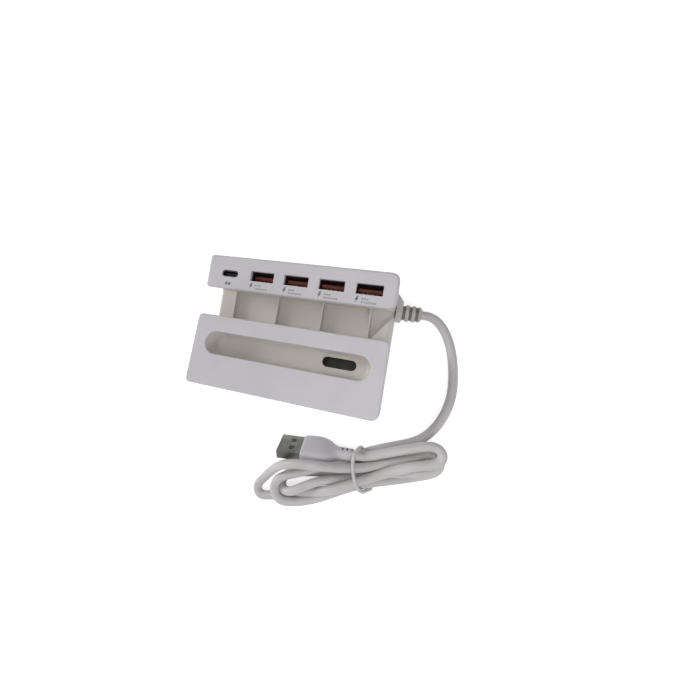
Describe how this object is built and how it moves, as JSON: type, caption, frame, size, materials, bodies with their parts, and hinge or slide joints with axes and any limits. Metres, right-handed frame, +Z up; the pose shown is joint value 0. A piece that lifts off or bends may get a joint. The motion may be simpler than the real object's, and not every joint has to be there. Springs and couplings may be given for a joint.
{
  "type": "multi port usb desktop charger",
  "caption": "Low white desktop charger: a tilted row of USB ports behind a ribbed phone slot and a front plate with a stadium trough; a tied USB cord leaves its right end.",
  "frame": {"origin": "middle of the body's footprint, on the surface that the feet stand on", "axes": "+X to the cord's side along the port row, +Y to the rear, +Z up; the front faces -Y"},
  "size_m": [0.1319, 0.1183, 0.0294],
  "materials": {
    "housing_plastic": "satin moulded white",
    "cover_plastic": "satin moulded white",
    "board_laminate": "green solder mask",
    "chip_plastic": "black moulded",
    "inductor_ferrite": "dark grey ferrite",
    "capacitor_can": "satin",
    "screw_steel": "plated",
    "relief_vinyl": "soft white vinyl",
    "cord_vinyl": "soft white vinyl",
    "tie_vinyl": "soft white vinyl",
    "plug_vinyl": "soft white vinyl",
    "socket_steel": "nickel plated",
    "plug_insulator": "white moulded",
    "contact_brass": "gold flash",
    "tongue_black": "black moulded",
    "tongue_orange": "orange moulded",
    "foot_rubber": "matte black"
  },
  "bodies": {
    "root": {"base_cover": "cover_plastic", "circuit_board": "board_laminate", "controller_chip": "chip_plastic", "cord_hank": "cord_vinyl", "cord_lead": "cord_vinyl", "cord_tie": "tie_vinyl", "cover_screws": "screw_steel", "filter_capacitors": "capacitor_can", "plug_contacts": "contact_brass", "plug_overmould": "plug_vinyl", "plug_shell": "socket_steel", "plug_tongue": "plug_insulator", "power_inductor": "inductor_ferrite", "rubber_foot_1": "foot_rubber", "rubber_foot_2": "foot_rubber", "rubber_foot_3": "foot_rubber", "rubber_foot_4": "foot_rubber", "strain_relief": "relief_vinyl", "top_housing": "housing_plastic", "usb_a_contacts_1": "contact_brass", "usb_a_contacts_2": "contact_brass", "usb_a_contacts_3": "contact_brass", "usb_a_contacts_4": "contact_brass", "usb_a_shell_1": "socket_steel", "usb_a_shell_2": "socket_steel", "usb_a_shell_3": "socket_steel", "usb_a_shell_4": "socket_steel", "usb_a_tongue_1": "tongue_orange", "usb_a_tongue_2": "tongue_orange", "usb_a_tongue_3": "tongue_orange", "usb_a_tongue_4": "tongue_orange", "usb_c_contacts": "contact_brass", "usb_c_shell": "socket_steel", "usb_c_tongue": "tongue_black"}
  },
  "joints": []
}
